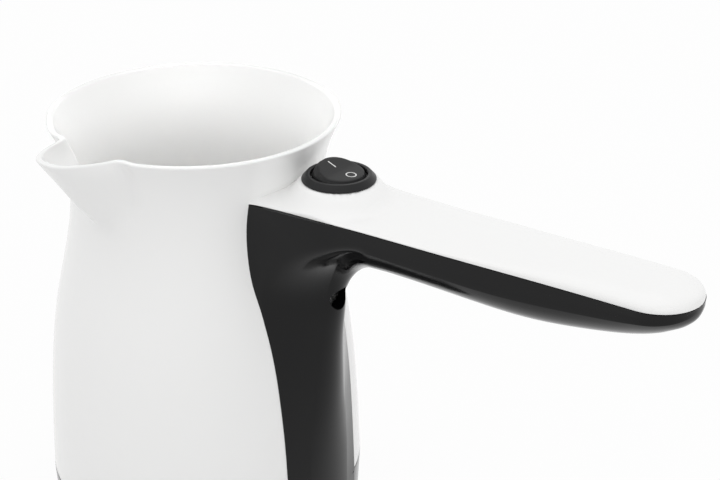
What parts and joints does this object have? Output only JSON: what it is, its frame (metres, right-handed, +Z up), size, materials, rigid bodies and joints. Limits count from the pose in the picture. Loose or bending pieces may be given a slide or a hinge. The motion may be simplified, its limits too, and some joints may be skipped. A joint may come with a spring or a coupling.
{
  "type": "electric turkish coffee maker",
  "caption": "Electric coffee pot: flared white plastic body with a pouring spout, long black handle with a white cover and a round rocker switch, black heating base.",
  "frame": {"origin": "on the pot's axis, on the surface that the feet stand on", "axes": "+X from the pot's axis along the handle, +Z up along the pot's axis, +Y to the side away from the spout"},
  "size_m": [0.2321, 0.1149, 0.1429],
  "materials": {
    "white_gloss": "glossy",
    "black_gloss": "glossy",
    "black_satin": "satin",
    "dark_matte": "matte",
    "steel": "brushed",
    "aluminium": "satin",
    "brass": "plain",
    "rubber": "matte",
    "silicone": "matte",
    "ceramic": "matte",
    "thermoset": "satin",
    "clear_white": "satin",
    "sleeve": "woven",
    "brown_lead": "plain",
    "blue_lead": "plain",
    "white_lead": "plain",
    "earth_lead": "plain"
  },
  "bodies": {
    "pot": {"body_shell": "white_gloss", "handle_cover": "white_gloss", "handle_shell": "black_gloss", "base_housing": "black_gloss", "switch_housing": "black_satin", "switch_terminals": "brass", "switch_receptacles": "brass", "handle_screw": "steel", "screw_insert": "brass", "plate_seal": "silicone", "heating_plate": "steel", "clamp_ring": "steel", "clamp_screws": "steel", "heat_spreader": "aluminium", "heater_element": "aluminium", "heater_pins": "steel", "heater_beads": "ceramic", "thermostat_cap": "aluminium", "thermostat_body": "thermoset", "thermostat_blades": "brass", "thermostat_receptacles": "brass", "thermostat_bracket": "steel", "bracket_screws": "steel", "thermal_fuse": "steel", "fuse_sleeve": "sleeve", "earth_tab": "steel", "base_screws": "steel", "rubber_feet": "rubber", "cord_bush": "rubber", "terminal_block": "clear_white", "block_inserts": "brass", "block_screws": "steel", "live_lead": "brown_lead", "switched_lead": "brown_lead", "heater_lead": "white_lead", "fuse_lead": "white_lead", "neutral_lead": "blue_lead", "earth_lead": "earth_lead"},
    "rocker": {"switch_rocker": "black_satin", "plunger_spring": "steel"},
    "plunger": {"switch_plunger": "dark_matte"},
    "lever": {"contact_lever": "brass"}
  },
  "joints": [
    {"name": "rocker_tilt", "type": "hinge", "parent": "pot", "child": "rocker", "pos_m": [0.0574, 0, 0.131], "axis": [0, -1, 0], "range_deg": [0, 26]},
    {"name": "plunger_slide", "type": "slide", "parent": "rocker", "child": "plunger", "axis": [0.225, 0, 0.9744], "range_m": [0, 0.0008], "stiffness_N_per_m": 300, "springref_m": -0.0006, "deforming": ["plunger_spring"]},
    {"name": "lever_tilt", "type": "hinge", "parent": "pot", "child": "lever", "pos_m": [0.0574, 0, 0.1226], "axis": [0, 1, 0], "range_deg": [0, 16]}
  ],
  "couplings": [
    {"joint": "lever_tilt", "follows": "rocker_tilt", "ratio": 0.61538}
  ]
}
